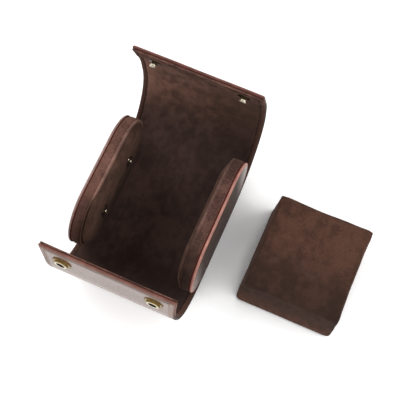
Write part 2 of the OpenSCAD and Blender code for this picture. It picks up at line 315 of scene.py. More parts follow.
def suedeFinish(name, colour, place="surface", depth=0.05, contrast=1.0, flecks=0.3,
                paintedLiningShade=False, sideColour=None, shade=None, rivets=None):
    f = Finish(name)
    at = f.surface() if place == "surface" else f.solid()
    wide, narrow = suede["clouds"]
    clouds = f.cloud(at, wide, 2.0, 0.5) * 0.5 + f.cloud(at, narrow, 3.0, 0.6) * 0.5
    strokes = f.cloud(f.stretch(at, (0.55, 0.3, 0.3)), suede["strokes"], 2.0, 0.55)
    fibre = f.cloud(at, suede["fibre"], 2.0, 0.75)
    speckle = f.cloud(at, suede["speckle"], 2.0, 0.6)
    fleck = f.cloud(at, suede["flecks"], 3.0, 0.7)
    tone = f.ease(f.ease(clouds, 0.36, 0.64) * 0.48 + f.ease(strokes, 0.3, 0.7) * 0.28
                  + f.ease(fibre, 0.25, 0.75) * 0.24, 0.2, 0.8)
    nap = suede["nap"] * contrast
    worn = f.mix(tone, tint(colour, 1 - nap), tint(colour, 1 + nap))
    pits = f.limit(f.ease(speckle, 0.5, 0.7) * (suede["grit"] * contrast))
    worn = f.mix(pits, worn, tint(colour, 0.72))
    worn = f.mix(f.ease(fleck, 0.5, 0.68) * flecks, worn, tint(colour, 1.3))
    worn = f.mix(f.ease(fleck, 0.5, 0.32) * flecks, worn, tint(colour, 0.6))
    if paintedLiningShade:
        worn = paintLiningShade(f, at, tone, worn)
    if sideColour is not None:
        edge = wrap["halfWidth"]
        worn = f.mix(f.span(f.off(at, "X"), (edge - 3.6, edge - 2.6)), worn, paint(*sideColour))
    if shade is not None:
        # painted light and shade: another colour within some spans, or outside them
        mask = f.within(at, shade["spans"])
        if shade.get("outside"):
            mask = 1 - mask
        other = f.mix(tone, tint(shade["colour"], 0.86), tint(shade["colour"], 1.1))
        worn = f.mix(mask, worn, other)
    if rivets is not None:
        worn = paintRivetShade(f, at, fibre, worn, rivets)
    return f.close(f.principled({
        "Base Color": worn,
        "Roughness": 0.95,
        "Specular IOR Level": 0.15,
        "Sheen Weight": 0.22,
        "Sheen Roughness": 0.45,
        "Sheen Tint": paint(*suede["sheen"]),
        "Normal": f.bump(fibre * 0.6 + strokes * 0.5 + speckle * 0.4, depth),
    }))


leather = {
    "face": (102, 62, 52),
    "faceDark": (72, 44, 37),
    "capFace": (84, 64, 56),
    "capFaceDark": (54, 41, 37),
    # paler colour at a cap's ends: painted reflection
    "capTip": (104, 82, 72),
    "sideHem": (138, 108, 93),
    # the cut edges of the free ends: painted ridge, a corner paler partly from wear and partly as
    # painted highlight, an inner half darkened as painted shade, long side; the lip's paint is
    # lighter than the flap's as painted light
    "lipPaint": (154, 102, 92),
    "lipWorn": (172, 134, 120),
    "lipDeep": (96, 54, 47),
    "lipSide": (146, 106, 92),
    "flapPaint": (126, 80, 71),
    "flapWorn": (168, 128, 118),
    "flapDeep": (98, 58, 51),
    "flapSide": (118, 82, 72),
    # painted shade on the long sides up to the last panel
    "side": (42, 28, 25),
    # the caps' painted edges, lighter than the free ends' paint and the right one most, as painted
    # highlight
    "leftPaint": (172, 134, 124),
    "rightPaint": (212, 146, 130),
    "seam": (84, 50, 44),
    "capSeam": (84, 38, 33),
    "hole": (18, 12, 10),
    "grain": 0.9,
    "fineGrain": 0.405,
    # distances from the long side: the hem's inner edge and its stitches
    "hem": (4.6, 4.0),
    "stitchLine": 3.1,
    "stitchWidth": (0.2, 0.45),
    "stitchPitch": 2.8,
    # a cap's ends take more coat, and a paler colour as painted reflection, more and more between
    # these distances from its middle
    "polishedAndHighlit": (24, 45),
    "specularTint": (255, 230, 214),
    "sheetCoat": {"Specular IOR Level": 0.5, "Coat Tint": paint(255, 246, 238),
                  "Coat Roughness": 0.25},
    "capCoat": {"Specular IOR Level": 0.07, "Coat Tint": paint(255, 228, 208),
                "Coat Roughness": 0.16},
}


def leatherFinish(name, sheet):
    # the wrap's outer sheet, or else the cover of a cap
    f = Finish(name)
    at = f.surface() if sheet else f.solid()
    warp = f.cloud(at, 3.0, 2.0)
    pebble = f.cells(at, leather["grain"])
    fine = f.cells(at, leather["fineGrain"])
    pull = f.cloud(f.stretch(at, (0.3, 1.0, 1.0)), 14, 3.0, 0.6)
    streaks = f.cloud(f.stretch(at, (0.14, 0.7, 1.0)), 8, 2.0, 0.5)
    tone = f.limit(f.ease(pull, 0.3, 0.72) * 0.7 + warp * 0.3)
    creases = f.ease(pebble, 0.55, 0.95)
    bright, dark = (leather[("face" if sheet else "capFace") + end] for end in ("", "Dark"))
    colour = f.mix(tone, paint(*dark), paint(*bright))
    colour = f.mix(creases * 0.35, colour, paint(*dark))
    height = pebble * -0.45 + fine * -0.25 + warp * 0.8 + streaks * 4.0
    if sheet:
        # the sides are turned in and stitched down, and left without polish
        edge, sideHem = wrap["halfWidth"], leather["sideHem"]
        across = f.off(at, "X")
        hem = f.span(across, [edge - d for d in leather["hem"]])
        beside = f.calc("ABSOLUTE", across - (edge - leather["stitchLine"]) * mm)
        turns = f.off(at, "Y") * (2 * math.pi / (leather["stitchPitch"] * mm))
        dash = f.ease(f.calc("SINE", turns), -0.3, 0.1)
        stitch = (1 - f.span(beside, leather["stitchWidth"])) * dash
        colour = f.mix(hem * (tone * 0.4 + 0.4), colour, paint(*sideHem))
        colour = f.mix(stitch * 0.8, colour, tint(sideHem, 1.45))
        coat = (1 - hem * 0.85) * 0.7
        height = height + stitch * 2.0
    else:
        # paler at the rounded ends as painted reflection, with more coat there
        polish = f.span(f.off(at, "Y"), leather["polishedAndHighlit"])
        colour = f.mix(polish * polish, colour, paint(*leather["capTip"]))
        coat = polish * 0.62
    return f.close(f.principled({
        "Base Color": colour,
        "Roughness": f.limit((0.26 if sheet else 0.5) + warp * 0.12 + creases * 0.15),
        "IOR": 1.5,
        "Specular Tint": paint(*leather["specularTint"]),
        "Coat Weight": coat,
        "Normal": f.bump(height, 0.05),
        **leather["sheetCoat" if sheet else "capCoat"],
    }))


def paintFinish(name, colour, sideColour=None, panel=0.0):
    f = Finish(name)
    at = f.surface() if sideColour else f.solid()
    runs = f.cloud(f.stretch(at, (0.3, 0.3, 0.3)), 1.6, 4.0, 0.6)
    grit = f.cloud(at, 0.5, 2.0)
    tone = f.limit(f.ease(runs, 0.35, 0.7) * 0.75 + grit * 0.25)
    worn = f.mix(tone, tint(colour, 0.78), paint(*colour))
    if sideColour:
        # only the free ends are painted: the long sides are stained, and painted dark as shade up
        # to the last panel
        edge = wrap["halfWidth"]
        last = f.span(f.off(at, "Y"), (panel - 6, panel + 6))
        sideStainAndShade = f.mix(tone, tint(sideColour, 0.8), paint(*sideColour))
        sideStainAndShade = f.mix(last, paint(*leather["side"]), sideStainAndShade)
        worn = f.mix(f.span(f.off(at, "X"), (edge - 1.3, edge - 0.5)), worn, sideStainAndShade)
    return f.close(f.principled({
        "Base Color": worn,
        "Roughness": f.limit(0.42 + grit * 0.2),
        "Specular IOR Level": 0.08 if sideColour else 0.5,
        "Normal": f.bump(runs * 0.8 + grit * 0.3, 0.05),
    }))


def seamFinish(name, colour, place="surface"):
    f = Finish(name)
    glue = f.cloud(f.surface() if place == "surface" else f.solid(), 0.8, 3.0)
    return f.close(f.principled({
        "Base Color": f.mix(glue, paint(*colour), tint(colour, 1.4)),
        "Roughness": 0.8,
        "Specular IOR Level": 0.0,
        "Normal": f.bump(glue, 0.08),
    }))


# bright and dull colour, how far the dull one has spread, and roughness
metal = {
    "brass": ("antique brass", (156, 136, 92), (92, 76, 44), 0.47, 0.28),
    "rivet": ("rivet brass", (236, 226, 204), (186, 168, 128), 0.4, 0.12),
    # the rivets' bore and neck, painted dark as shade
    "bore": ("shaded bore", (60, 50, 40), (26, 20, 16), 0.4, 0.5),
    "wire": ("spring wire", (72, 72, 75), (48, 48, 51), 0.4, 0.4),
}


def metalFinish(name, bright, dull, wear, rough):
    f = Finish(name)
    at = f.solid()
    blotch = f.cloud(at, 2.2, 4.0, 0.65)
    scratch = f.cloud(f.stretch(at, (1.0, 6.0, 1.0)), 0.8, 2.0)
    mask = f.limit(f.ease(blotch, wear - 0.15, wear + 0.15) * 0.8 + scratch * 0.2)
    return f.close(f.principled({
        "Base Color": f.mix(mask, paint(*dull), paint(*bright)),
        "Metallic": 1.0,
        "Roughness": f.limit(rough + (1 - mask) * 0.2),
        "Normal": f.bump(scratch + blotch, 0.01),
    }))


# bright within reach of the snap's axis, and only above a height where one is given; the bright
# part is partly a painted highlight and the dark part partly painted shade
snap = {
    "across": 29.0,
    "lip": {"fromEdge": 14.0, "bright": (216, 206, 178), "dark": (116, 97, 60), "reach": 3.9,
            "hole": 2.7},
    "flap": {"fromEdge": 13.0, "bright": (236, 226, 204), "dark": (60, 50, 33), "reach": 2.2,
             "above": 1.8},
    "holeColour": (14, 11, 9),
}


def snapFinish(side, spot, heading, facing):
    spec = snap[side]
    f = Finish(side + " snap brass")
    at = f.solid()
    y, z = f.axis(at, "Y") - spot[0], f.axis(at, "Z") - spot[1]
    across = f.off(at, "X") - snap["across"] * mm
    along = y * heading[0] + z * heading[1]
    radius = f.calc("SQRT", across * across + along * along)
    mask = f.span(radius, (spec["reach"] - 0.25, spec["reach"] + 0.25))
    if "above" in spec:
        height = y * facing[0] + z * facing[1]
        below = 1 - f.span(height, (spec["above"] - 0.2, spec["above"] + 0.2))
        mask = f.calc("MAXIMUM", mask, below)
    blotch = f.cloud(at, 1.8, 4.0, 0.65)
    scratch = f.cloud(f.stretch(at, (1.0, 5.0, 1.0)), 0.7, 2.0)
    bright, dark = spec["bright"], spec["dark"]
    polishedAndHighlit = f.mix(f.ease(blotch, 0.45, 0.75), paint(*bright), tint(bright, 0.78))
    dulledAndShaded = f.mix(f.ease(blotch, 0.35, 0.65), paint(*dark), tint(dark, 1.35))
    shader = f.principled({
        "Base Color": f.mix(mask, polishedAndHighlit, dulledAndShaded),
        "Metallic": 1.0,
        "Roughness": f.limit(0.16 + mask * 0.16 + blotch * 0.1),
        "Normal": f.bump(scratch + blotch, 0.02),
    })
    # the socket's hole is painted black as its shade
    if "hole" in spec:
        black = f.principled({"Base Color": paint(*snap["holeColour"]), "Roughness": 1.0,
                              "Specular IOR Level": 0.0})
        inside = 1 - f.span(radius, (spec["hole"] - 0.15, spec["hole"] + 0.15))
        shader = f.node("MixShader", {}, {0: inside, 1: shader, 2: black})
    return f.close(shader)


def boardFinish(name, colour):
    f = Finish(name)
    pulp = f.cloud(f.solid(), 1.2, 4.0, 0.7)
    return f.close(f.principled({
        "Base Color": f.mix(f.ease(pulp, 0.3, 0.7), tint(colour, 0.85), paint(*colour)),
        "Roughness": 0.9,
        "Normal": f.bump(pulp, 0.05),
    }))


def grey(level):
    return (level, level, level, 1.0)


def tableFinish():
    f = Finish("table")
    at = f.solid()
    dark, pale = light["tableTones"]
    matt = f.principled({
        "Base Color": f.mix(f.cloud(at, 40, 3.0), grey(dark), grey(pale)),
        "Roughness": 0.9,
        "Specular IOR Level": 0.0,
    })
    # the glow gives way where ambient occlusion finds the object close, as a painted shadow beside
    # it; it is lifted in front of the object as painted light, and rises to white far from it
    room = f.node("AmbientOcclusion", {"samples": 12}, {"Distance": light["shadeReach"]}, "AO")
    front = f.ease(f.axis(at, "Y"), *light["frontOf"])
    clear = f.ease(room + front * light["frontLift"], *light["open"])
    away = f.node("VectorMath", {"operation": "LENGTH"}, {0: at}, "Value")
    level = f.mix(f.ease(away, *light["whiteFrom"]), grey(light["tableGlow"]), grey(1.0))
    glow = f.node("Emission", {}, {"Color": f.mix(clear, grey(0.0), level), "Strength": f.seen()})
    return f.close(f.node("AddShader", {}, {0: matt, 1: glow}))


def skyFinish():
    scene.world = bpy.data.worlds.new("sky")
    f = Finish("sky", scene.world)
    level = f.seen() * (1 - light["skyLevel"]) + light["skyLevel"]
    back = f.node("Background", {}, {"Color": grey(1.0), "Strength": level})
    f.node("OutputWorld", {}, {"Surface": back})


def makeTable():
    half = light["tableHalf"]
    mesh = bpy.data.meshes.new("table")
    corners = [(x * half, y * half, 0) for x, y in ((-1, -1), (1, -1), (1, 1), (-1, 1))]
    mesh.from_pydata(corners, [], [(0, 1, 2, 3)])
    mesh.materials.append(tableFinish())
    table = bpy.data.objects.new("table", mesh)
    scene.collection.objects.link(table)


placeCamera()
for lamp, spec in light["lamps"].items():
    placeLamp(lamp, **spec)
skyFinish()
scene.view_settings.view_transform = "Standard"
makeTable()
print("camera, light and table placed")


class Weave:
    # gathers points and faces, and gives one index to points that coincide
    def __init__(self):
        self.points = []
        self.marks = []
        self.faces = []
        self.slots = []
        self.flat = []
        self.index = {}

    def point(self, place, mark=0.0):
        key = tuple(round(c, 4) for c in place)
        if key not in self.index:
            self.index[key] = len(self.points)
            self.points.append(place)
            self.marks.append(mark)
        return self.index[key]

    def face(self, corners, slot=0, flat=False):
        kept = [c for i, c in enumerate(corners) if c != corners[i - 1]]
        if len(set(kept)) > 2 and len(set(kept)) == len(kept):
            self.faces.append(kept)
            self.slots.append(slot)
            self.flat.append(flat)

    def loft(self, first, second, slot=0, closed=False):
        count = len(first)
        for i in range(count if closed else count - 1):
            j = (i + 1) % count
            self.face([first[i], first[j], second[j], second[i]], slot)


def makePiece(name, weave, places, materials, surface=None):
    mesh = bpy.data.meshes.new(name)
    mesh.from_pydata([tuple(p) for p in places], [], weave.faces)
    for material in materials:
        mesh.materials.append(material)
    mesh.polygons.foreach_set("material_index", weave.slots)
    mesh.polygons.foreach_set("use_smooth", [not f for f in weave.flat])
    if surface is not None:
        layer = mesh.uv_layers.new(name="surface")
        corners = np.empty(len(mesh.loops), int)
        mesh.loops.foreach_get("vertex_index", corners)
        layer.data.foreach_set("uv", surface[corners].astype(np.float32).ravel())
    work = bmesh.new()
    work.from_mesh(mesh)
    bmesh.ops.recalc_face_normals(work, faces=work.faces)
    for edge in work.edges:
        if len(edge.link_faces) == 2 and edge.link_faces[0].smooth != edge.link_faces[1].smooth:
            edge.smooth = False
    work.to_mesh(mesh)
    work.free()
    piece = bpy.data.objects.new(name, mesh)
    scene.collection.objects.link(piece)
    return piece


def bell(distance, width):
    return math.exp(-(distance / width) ** 2)


def share(value, ends):
    return min(1, max(0, (value - ends[0]) / (ends[1] - ends[0])))


# strips that bend round each fold, from the middle of the floor to the free edges
wrap = {
    "halfWidth": 42.0,
    "cornerRadius": 1.3,
    "cornerPoints": 6,
    "band": 5.0,
    "step": 1.1,
    "columnStep": 1.2,
    "trackStep": 0.5,
    "bendPoints": 32,
    # back and face of each sheet, as heights over the lining's face
    "leatherDepth": (-3.2, -1.0),
    "liningDepth": (-1.0, 0.0),
    # distance from the border, height over the lining's face, and finish up to the next point
    "leatherEdge": [
        (3.9, -3.2, 0), (3.45, -3.12, 0), (3.2, -2.84, 0), (3.0, -2.76, 0), (2.8, -2.84, 0),
        (2.55, -3.12, 0), (2.1, -3.2, 0), (1.45, -3.2, 0), (1.2, -3.12, 3), (1.05, -2.96, 3),
        (0.9, -3.0, 3), (0.62, -2.96, 3), (0.36, -2.8, 3), (0.15, -2.52, 1), (0.03, -2.2, 1),
        (0.0, -1.9, 1), (0.05, -1.6, 4), (0.2, -1.36, 4), (0.42, -1.2, 2), (0.85, -1.1, 2),
        (1.1, -1.02, 0), (1.6, -1.0, 0)],
    "liningEdge": [
        (0.95, -1.0, 1), (0.5, -0.94, 1), (0.27, -0.72, 1), (0.22, -0.46, 1), (0.34, -0.2, 1),
        (0.62, -0.04, 1), (1.0, 0.04, 1), (1.5, 0.05, 1), (2.2, 0.02, 1), (2.55, -0.1, 2),
        (2.95, -0.5, 2), (3.15, -0.7, 2), (3.35, -0.5, 2), (3.8, -0.08, 0), (4.3, 0.0, 0)],
    # a capital marks a finish that each side has of its own
    "leatherFinishes": ("leather", "Paint", "seam", "Worn", "Deep", "hole"),
    "liningFinishes": ("lining", "hem", "crease"),
    # out of flat on the last panels: height, and how close the waves are across and along
    "wave": (0.35, 0.03, 0.045),
    # puckers by the border: height, distance from it, width, and how close they are
    "pucker": (0.65, 4.6, 2.6, 0.42),
    # a fold and a dip across the flap: height, distance from its end, and width
    "fold": (1.3, 9.5, 3.2),
    "dip": (-1.04, 17.0, 3.6),
    "foldSway": 3.5,
    # round a snap the lining is flat up to the first distance, and free from the second
    "flatRound": (6.0, 9.0),
    # it is raised round a stud and sunk round a socket: height, distance and width
    "raised": (0.3, 5.6, 1.0),
    "sunk": (0.16, 7.5, 1.5),
    # the face moves fully from the second distance from the border, and not before the first
    "free": (0.6, 2.6),
    # the hole that the stud's tip reaches into: radius, and height of its floor
    "hole": (3.4, -1.15),
}
# how far the left and right corners have stretched and widened, and the left one leans in
sides = {
    "lip": {"sign": -1, "endAngle": 93.0, "endLength": 31.8,
            "lift": (1.8, -0.2), "flare": (0.014, 0.034), "lean": 0.25},
    "flap": {"sign": 1, "endAngle": 107.0, "endLength": 28.0,
             "lift": (0.0, 0.0), "flare": (0.0, 0.0), "lean": 0.0},
}

finishes = {
    "leather": leatherFinish("outer leather", True),
    "capLeather": leatherFinish("cap leather", False),
    "seam": seamFinish("glued seam", leather["seam"]),
    "capSeam": seamFinish("glued cap seam", leather["capSeam"], "solid"),
    "hole": seamFinish("stud hole", leather["hole"]),
    "lining": suedeFinish("suede lining", suede["lining"], contrast=1.3, paintedLiningShade=True,
                          shade=shades["flapEnd"]),
    "hem": suedeFinish("suede hem", suede["hem"], contrast=1.5, sideColour=suede["sideHem"]),
    "crease": suedeFinish("suede crease", suede["crease"], contrast=2.2,
                          sideColour=suede["sideCrease"]),
    "pillow": suedeFinish("pillow suede", suede["pillow"], "solid", 0.07, 0.95, 0.4,
                          shade=shades["pillow"]),
    "board": boardFinish("grey board", (150, 140, 120)),
}
for side, contrast, flecks in (("left", 1.2, 0.75), ("right", 1.35, 0.85)):
    band, ridge = suede[side + "Band"], suede[side + "Ridge"]
    finishes[side + "Band"] = suedeFinish(side + " band suede", band, "solid", 0.1, contrast,
                                          flecks, shade=shades[side + "Band"])
    finishes[side + "Ridge"] = suedeFinish(side + " ridge suede", ridge, "solid", 0.08,
                                           shade=shades["ridge"])
    finishes[side + "Paint"] = paintFinish(f"edge {side}Paint", leather[side + "Paint"])
for key, spec in metal.items():
    finishes[key] = metalFinish(*spec)


class Path:
    # the lining's face seen from the side, from the middle of the floor to a free edge
    def __init__(self, side):
        self.spec = sides[side]
        self.sign = self.spec["sign"]
        found = [j for j in frame["joints"] if j["name"].startswith(side + "_bend_")]
        found.sort(key=lambda j: int(j["name"].split("_")[-1]))
        folds = [Vector((abs(j["pos_m"][1]), j["pos_m"][2])) / mm for j in found]
        angle = math.radians(self.spec["endAngle"])
        edge = folds[-1] + Vector((math.cos(angle), math.sin(angle))) * self.spec["endLength"]
        corners = [Vector((0, folds[0].y))] + folds + [edge]
        half = (folds[2] - folds[1]).length / 2
        reach = [(folds[1] - folds[0]).length - half] + [half] * (len(folds) - 1)
        track, self.starts, self.ends, marks = [corners[0]], [], [], []
        for i, fold in enumerate(folds):
            come = (fold - corners[i]).normalized()
            go = (corners[i + 2] - fold).normalized()
            a, b = fold - come * reach[i], fold + go * reach[i]
            if (a - track[-1]).length > 0.01:
                track += self.run(track[-1], a, 2)
            marks.append(len(track) - 1)
            turn = np.linspace(0, 1, wrap["bendPoints"] + 1)[1:]
            track += [a.lerp(fold, t).lerp(fold.lerp(b, t), t) for t in turn]
            marks.append(len(track) - 1)
            self.starts.append(a)
            self.ends.append(b)
        track += self.run(track[-1], edge)
        self.track = np.array([tuple(p) for p in track])
        gaps = np.linalg.norm(np.diff(self.track, axis=0), axis=1)
        self.along = np.concatenate([[0], np.cumsum(gaps)])
        self.length = self.along[-1]
        self.stud = self.length - snap[side]["fromEdge"]
        heading = np.gradient(self.track, self.along, axis=0)
        heading /= np.linalg.norm(heading, axis=1)[:, None]
        self.normal = np.stack([-heading[:, 1], heading[:, 0]], 1)
        self.bends = [(self.along[a], self.along[b]) for a, b in zip(marks[::2], marks[1::2])]
        joins = [(a[1] + b[0]) / 2 for a, b in zip(self.bends, self.bends[1:])]
        self.spans = list(zip([0.0] + joins, joins + [self.length]))

    def run(self, start, end, least=1):
        steps = max(least, round((end - start).length / wrap["trackStep"]))
        return [start.lerp(end, k / steps) for k in range(1, steps + 1)]

    def last(self, s):
        # the share of the last panel that lies behind
        start = self.bends[-1][1]
        return np.clip((s - start) / (self.length - start), 0, 1)

    def wave(self, x, s):
        # the last panels are a little out of flat
        height, across, along = wrap["wave"]
        swell = self.last(s)
        lift = np.array([noise.noise(Vector((a * across + 5 * self.sign, b * along, 1.7)))
                         for a, b in zip(x, s)])
        return height * swell * swell * (3 - 2 * swell) * lift

    def pull(self, x, s, n):
        # the free end has stretched a little at its corners
        spec, near = self.spec, self.last(s) ** 2
        corner = near * np.clip(np.abs(x) / wrap["halfWidth"], 0, 1) ** 4
        sway = near * np.clip(-x / wrap["halfWidth"], 0, 1) ** 2
        return (x * (1 + corner * np.where(x < 0, *spec["flare"])),
                s + corner * np.where(x < 0, *spec["lift"]), n + sway * spec["lean"])

    def at(self, s):
        # y and z of the face and of its normal
        return [np.interp(s, self.along, line) for line in (*self.track.T, *self.normal.T)]

    def place(self, points):
        x, s, n = np.array(points).T
        x, s, n = self.pull(x, s, n + self.wave(x, s))
        y, z, ny, nz = self.at(s)
        return np.stack([x, self.sign * (y + n * ny), z + n * nz], 1) * mm

    def snapPlace(self):
        # where the snaps' axes cross the wrap, and how it runs and faces there, as y and z
        y, z, ny, nz = self.at(self.stud)
        return (self.sign * y * mm, z * mm), (self.sign * nz, -ny), (self.sign * ny, nz)

    def fromSnap(self, x, s):
        return math.hypot(abs(x) - snap["across"], s - self.stud)

    def lift(self, corner):
        return (0.0, self.sign * corner.x * mm, corner.y * mm)


def stripWeave(path, span, depth, edge):
    # two faces and the worked border between them, in the flat frame: across, along, height
    w = Weave()
    half, band, radius = wrap["halfWidth"], wrap["band"], wrap["cornerRadius"]
    s0, s1 = span
    last = abs(s1 - path.length) < 1e-6
    top = s1 - band if last else s1
    rows = np.linspace(s0, top, max(2, round((top - s0) / wrap["step"])) + 1)
    inner = half - band
    columns = np.linspace(-inner, inner, round(2 * inner / wrap["columnStep"]) + 1)

    def grid(n):
        return [[w.point((x, s, n), band) for x in columns] for s in rows]

    def chains(d, n):
        # one ring of the border: the two long sides, or a line round the free end
        inset = max(d, radius)
        end = s1 - inset if last else s1

        def side(sign):
            return [w.point((sign * (half - d), s0 + (s - s0) * (end - s0) / (top - s0), n), d)
                    for s in rows]
        if not last:
            return [side(1), side(-1)]
        wide = half - inset
        count = wrap["cornerPoints"]
        turn = [math.radians(90 * k / count) for k in range(count + 1)]
        r = max(radius - d, 0)

        def corner(sign):
            return [w.point((sign * (wide + r * math.cos(t)), end + r * math.sin(t), n), d)
                    for t in turn]
        across = [w.point((x * wide / inner, s1 - d, n), d) for x in columns[::-1]]
        return [side(1) + corner(1) + across + corner(-1)[::-1] + side(-1)[::-1]]

    back, front = grid(depth[0]), grid(depth[1])
    for net in (back, front):
        for low, high in zip(net, net[1:]):
            w.loft(low, high)
    rings = [(band, depth[0], 0)] + list(edge) + [(band, depth[1], 0)]
    made = [chains(d, n) for d, n, slot in rings]
    for (d, n, slot), first, second in zip(rings, made, made[1:]):
        for a, b in zip(first, second):
            w.loft(a, b, slot)
    # the cut faces, where one strip meets the next
    cuts = [(0, back[0], front[0])] + ([] if last else [(-1, back[-1], front[-1])])
    for row, low, high in cuts:
        for a, b, c, d in zip(low, low[1:], high[1:], high):
            w.face([a, b, c, d], 0, True)
        w.face([chain[0][row] for chain in made], 0, True)
        w.face([(chain[0][-1] if last else chain[1][row]) for chain in made], 0, True)
    return w


def worked(path, w):
    # the suede's face: puckers near the borders, soft folds on the free end, dishes round the metal
    out = []
    height, start, width, size = wrap["pucker"]
    for (x, s, n), d in zip(w.points, w.marks):
        if n < -0.6:
            out.append((x, s, n))
            continue
        side, end = wrap["halfWidth"] - abs(x), path.length - s
        ripple = noise.noise(Vector((x * size, s * size * path.sign, 4.0)))
        change = height * bell(min(side, end) - start, width) * ripple
        if path.sign > 0:
            sway = noise.noise(Vector((x * 0.05, end * 0.06, 9.0)))
            shift = wrap["foldSway"] * noise.noise(Vector((x * 0.06, 2.0, 5.0)))
            for (rise, middle, broad), lean in ((wrap["fold"], sway), (wrap["dip"], -sway)):
                change += rise * (0.7 + lean) * bell(end - middle - shift, broad)
        dish = path.fromSnap(x, s)
        change *= share(dish, wrap["flatRound"])
        if path.sign > 0:
            rise, middle, broad = wrap["raised"]
            change += rise * bell(dish - middle, broad)
        else:
            drop, rim, broad = wrap["sunk"]
            change -= drop * share(dish, (rim, rim - broad))
        out.append((x, s, n + change * share(d, wrap["free"])))
    return out


def punch(path, w):
    # under each socket the outer leather is cut out for the stud's tip, and the hole's floor is
    # painted near black as shade
    radius, floor = wrap["hole"]
    cut = wrap["leatherFinishes"].index("hole")
    w.points = [(x, s, floor if n < -3 and path.fromSnap(x, s) < radius else n)
                for x, s, n in w.points]
    w.slots = [cut if any(w.points[c][2] == floor for c in face) else slot
               for face, slot in zip(w.faces, w.slots)]


def makeStrip(side, path, i, span, layer):
    w = stripWeave(path, span, wrap[layer + "Depth"], wrap[layer + "Edge"])
    if layer == "lining":
        w.points = worked(path, w)
    elif side == "lip":
        punch(path, w)
    materials = [finishes[side + key if key[0].isupper() else key]
                 for key in wrap[layer + "Finishes"]]
    surface = np.array(w.points)[:, :2] * (mm, mm * path.sign)
    piece = makePiece(f"{side}_{layer}_strip_{i + 1}", w, path.place(w.points), materials, surface)
    bodies = ("base" if i == 0 else f"{side}_fold_{i}", f"{side}_fold_{i + 1}")
    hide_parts(f"{side}_{layer}_{i + 1}", *([f"floor_{layer}"] if i == 0 else []))
    path.lift(path.starts[i])
    path.lift(path.ends[i])
    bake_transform(piece)


def makeWrap():
    for side in sides:
        path = Path(side)
        for key in ("Paint", "Worn", "Deep"):
            finishes[side + key] = paintFinish(f"{side} edge {key}", leather[side + key],
                                               leather[side + "Side"], path.bends[-1][1])
        for i, span in enumerate(path.spans):
            for layer in ("leather", "lining"):
                makeStrip(side, path, i, span, layer)
        finishes[side + "Snap"] = snapFinish(side, *path.snapPlace())
        print(side, "made in", len(path.spans), "strips,", round(path.length, 1),
              "mm from the middle of the floor")


makeWrap()

# end caps: covers, suede bands, padded inner faces and rivets
cap = {
    "straight": 20.0,
    "radius": 25.0,
    "middle": 28.2,
    "face": 42.0,
    "turnPoints": 44,
    "straightPoints": 28,
    # radius, depth into the case, and finish up to the next point
    "cover": [
        (0, 0.0, 0), (8, 0.0, 0), (15, 0.0, 0), (20, 0.0, 0), (22.4, 0.0, 0), (22.75, 0.1, 0),
        (22.95, 0.24, 0), (23.15, 0.1, 0), (23.5, 0.0, 1), (23.95, 0.0, 1), (24.35, 0.09, 1),
        (24.68, 0.28, 1), (24.9, 0.56, 1), (25.0, 0.92, 1), (24.97, 1.2, 1), (24.85, 1.42, 1),
        (24.6, 1.56, 2), (24.0, 1.6, 2), (22, 1.6, 0), (12, 1.6, 0), (0, 1.6, 0)],
    "band": [
        (23.4, 1.62, 2), (24.0, 1.72, 2), (24.35, 1.98, 2), (24.6, 2.4, 0), (24.82, 2.95, 0),
        (24.94, 4.0, 0), (24.96, 5.4, 0), (24.93, 6.5, 0), (24.84, 7.2, 0), (24.66, 7.68, 0),
        (24.42, 7.92, 1), (24.5, 8.12, 1), (24.76, 8.35, 1), (24.93, 8.75, 1), (24.88, 9.2, 1),
        (24.64, 9.58, 1), (24.25, 9.8, 1), (23.8, 9.8, 1), (23.4, 9.62, 1), (23.1, 9.3, 0),
        (22.95, 8.95, 0), (22.7, 8.8, 0), (22.2, 8.8, 0), (21.5, 8.84, 0), (20.9, 8.8, 0),
        (20.64, 8.66, 0), (20.5, 8.3, 0), (21.5, 7.8, 0), (23.4, 7.6, 0)],
    "ridgeFoot": 8.1,
    "ridgeFades": (-30.0, -12.0),
    "ridgeLeast": 0.3,
    "unevenness": 0.07,
    "padRings": (0.0, 10.0, 19.8),
    "padRadius": 23.2,
    "padEdge": 9.05,
    # depth of the tuck by the edge, and the share of the way in that it takes
    "padTuck": (0.3, 0.012),
    "padTop": 12.3,
    "padFlat": 0.3,
    "padSteps": 36,
    "rivets": (18.5, -2.2),
    "rivetSeat": 11.4,
    # radius, height over the seat and finish of a hollow rivet: bore, rim, neck and washer; the
    # bore and neck take a dark finish as painted shade
    "rivet": [
        (0, 0.4, 1), (0.72, 0.4, 1), (0.78, 1.7, 1), (0.86, 1.94, 0), (1.05, 2.12, 0),
        (1.3, 2.1, 0), (1.52, 1.92, 0), (1.58, 1.66, 0), (1.46, 1.44, 0), (1.15, 1.3, 1),
        (1.0, 1.1, 1), (1.0, 0.5, 1), (1.2, 0.2, 1), (1.4, 0.4, 0), (1.68, 0.6, 0),
        (1.98, 0.52, 0), (2.14, 0.24, 0), (2.1, -0.1, 0), (1.9, -0.3, 1), (0.95, -0.34, 1),
        (0.9, -4.2, 1), (0, -4.2, 1)],
    "rivetTurns": 28,
    # how a rivet draws the pad in: depth and width
    "dimple": (1.3, 3.5),
    # the folds that fan out from it: depth, distance, width, and how many
    "fan": (0.5, 3.6, 2.2, 8),
}


def oblong(radius):
    half, turns, runs = cap["straight"], cap["turnPoints"], cap["straightPoints"]
    ring = []
    for sign in (1, -1):
        for k in range(turns):
            t = math.radians(-90 + 180 * k / turns)
            ring.append((sign * (half + radius * math.cos(t)), sign * radius * math.sin(t)))
        for k in range(runs):
            ring.append((sign * half * (1 - 2 * k / runs), sign * radius))
    return ring


def intoCase(side, flat):
    p = np.array(flat)
    return np.stack([side * (cap["face"] - p[:, 2]), p[:, 0], cap["middle"] + p[:, 1]], 1) * mm


